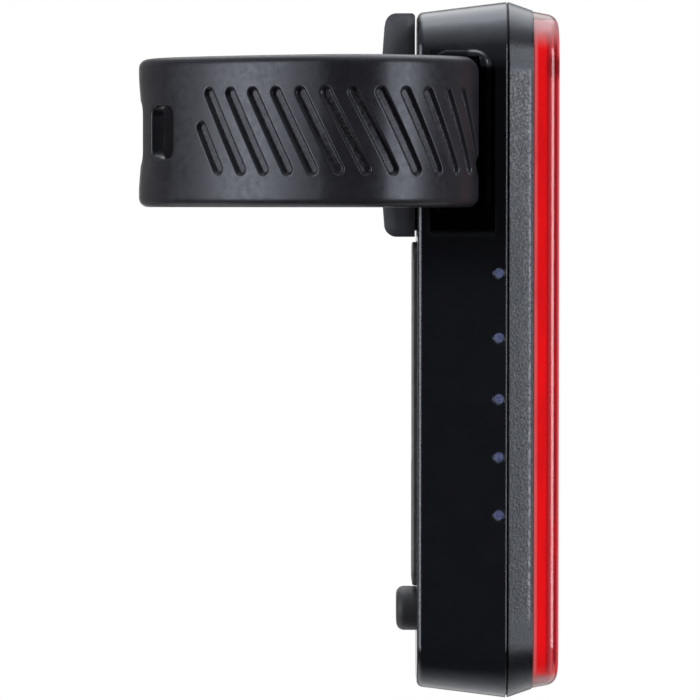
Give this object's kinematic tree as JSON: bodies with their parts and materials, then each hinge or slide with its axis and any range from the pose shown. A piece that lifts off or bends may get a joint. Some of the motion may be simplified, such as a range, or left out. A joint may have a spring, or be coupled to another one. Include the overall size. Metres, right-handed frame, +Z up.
{
  "type": "bike rear light",
  "caption": "Tall slim bicycle tail lamp with a red lens, rear push button, charging flap and a slotted silicone strap that hooks round a seat post.",
  "frame": {"origin": "on the axis of the seat post, halfway up the strap", "axes": "+Z up along the post, +X away from the post, the way the lamp shines, +Y to the side where the strap hooks"},
  "size_m": [0.0545, 0.0526, 0.0902],
  "materials": {
    "gloss_black": "gloss",
    "satin_grey": "fine spark-eroded texture",
    "red_clear": "clear red, polished",
    "strap_silicone": "matt silicone",
    "pad_rubber": "matt",
    "button_rubber": "matt",
    "seal_rubber": "matt",
    "strip_plastic": "satin",
    "white_plastic": "satin white",
    "frosted": "frosted",
    "board_metal": "white solder mask over metal",
    "board_fibre": "solder mask",
    "steel": "plain",
    "gilt": "plated",
    "chip": "moulded",
    "black_plastic": "moulded",
    "foil": "pouch foil",
    "foam": "foam tape",
    "wire_red": "wire cover",
    "clear_plastic": "clear"
  },
  "bodies": {
    "lamp": {"rear_housing": "gloss_black", "bezel": "satin_grey", "lens": "red_clear", "strap": "strap_silicone", "strap_pin": "steel", "cradle_pad": "pad_rubber", "back_plate": "strip_plastic", "gauge_light_pipe": "clear_plastic", "seam_seal": "seal_rubber", "lens_seal": "seal_rubber", "diffuser": "frosted", "reflector": "white_plastic", "led_board": "board_metal", "led_chips": "chip", "main_board": "board_fibre", "board_screws": "steel", "board_header": "gilt", "usb_socket": "steel", "mode_switch": "black_plastic", "battery": "foil", "battery_tape": "foam", "battery_connector": "white_plastic", "battery_leads": "wire_red", "gauge_leds": "chip"},
    "button": {"power_button": "button_rubber"},
    "plunger": {"switch_plunger": "white_plastic"},
    "port_flap": {"port_cover": "button_rubber"},
    "strap_end": {"strap_tail": "strap_silicone"}
  },
  "joints": [
    {"name": "strap_open", "type": "hinge", "parent": "lamp", "child": "strap_end", "pos_m": [0.00455, 0.02349, 0], "axis": [0, 0, 1], "range_deg": [0, 80], "stiffness_Nm_per_rad": 0.004},
    {"name": "button_press", "type": "slide", "parent": "lamp", "child": "button", "axis": [1, 0, 0], "range_m": [0, 0.0004], "stiffness_N_per_m": 4000},
    {"name": "switch_travel", "type": "slide", "parent": "lamp", "child": "plunger", "axis": [1, 0, 0], "range_m": [0, 0.0004]},
    {"name": "flap_open", "type": "hinge", "parent": "lamp", "child": "port_flap", "pos_m": [0.01847, 0, -0.04358], "axis": [0, 1, 0], "range_deg": [0, 100], "stiffness_Nm_per_rad": 0.0009}
  ],
  "couplings": [
    {"joint": "switch_travel", "follows": "button_press", "ratio": 1}
  ]
}
